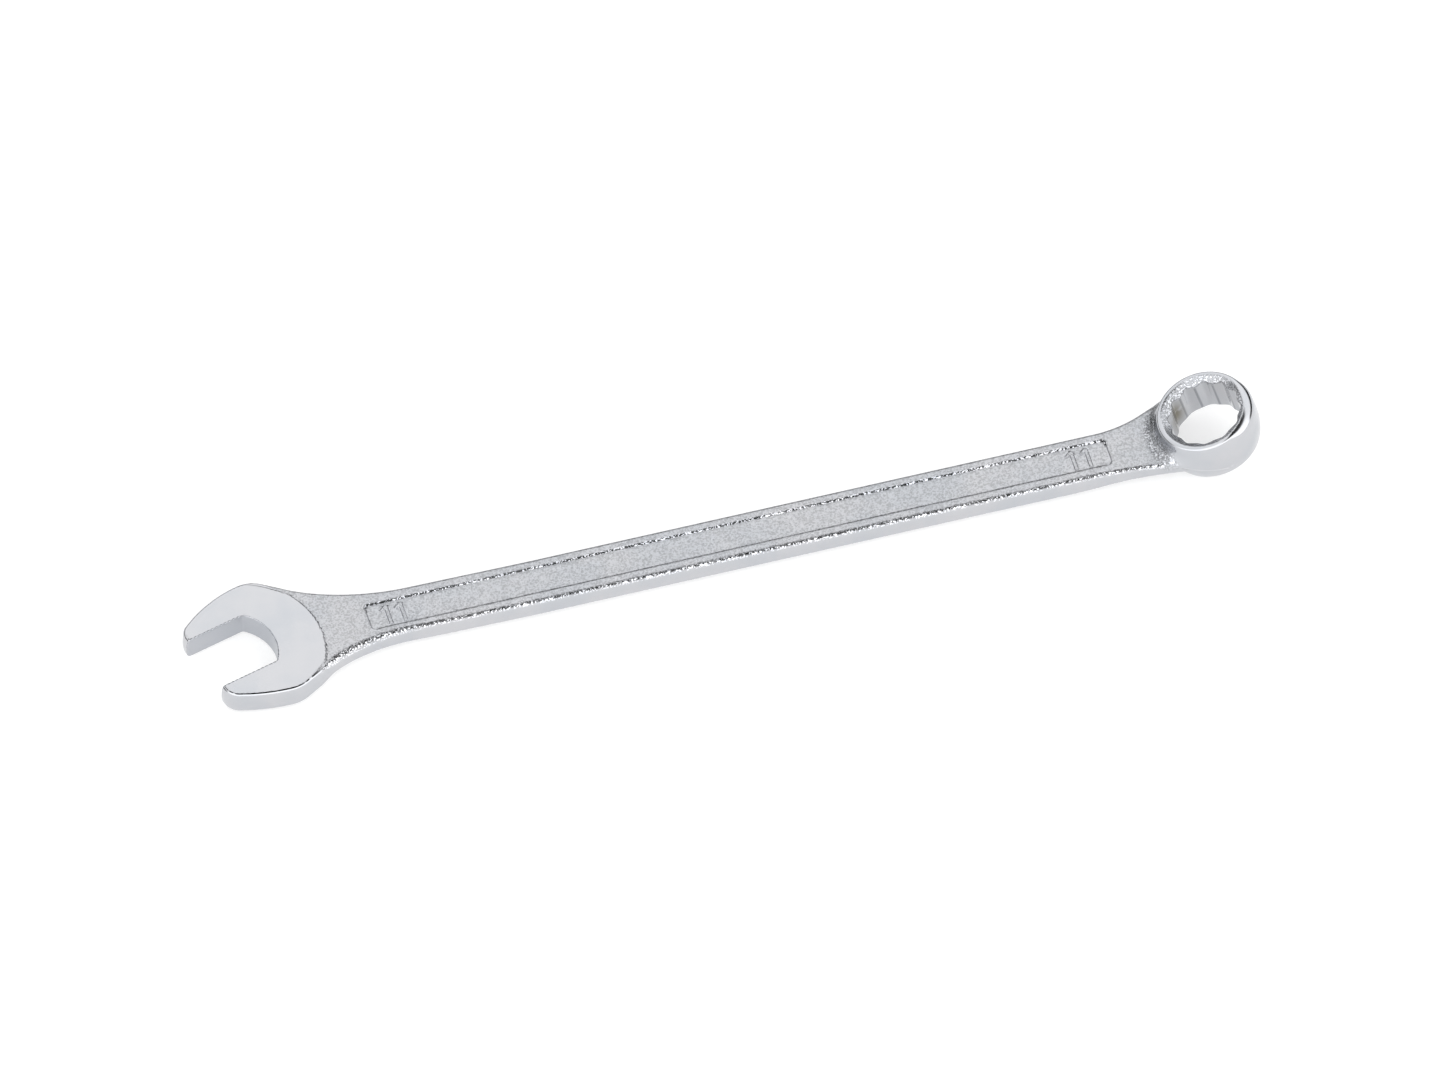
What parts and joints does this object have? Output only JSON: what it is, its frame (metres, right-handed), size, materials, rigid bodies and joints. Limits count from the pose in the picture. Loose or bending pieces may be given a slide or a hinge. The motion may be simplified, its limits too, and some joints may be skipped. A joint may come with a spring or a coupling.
{
  "type": "combination wrench",
  "caption": "Slim chrome-plated hand wrench with an open jaw at one end and a raised, tilted 12-point ring at the other.",
  "frame": {"origin": "where the centre line between the jaws crosses the shank's centre line, half way through the thickness", "axes": "+X along the shank from the open end to the ring, +Z out of the face that the ring rises from; the jaws open towards -X and 15 degrees towards -Y"},
  "size_m": [0.1838, 0.0239, 0.0119],
  "materials": {
    "chrome_plate": "satin, with blasted shank faces and bright sides"
  },
  "bodies": {
    "root": {"wrench": "chrome_plate"}
  },
  "joints": []
}
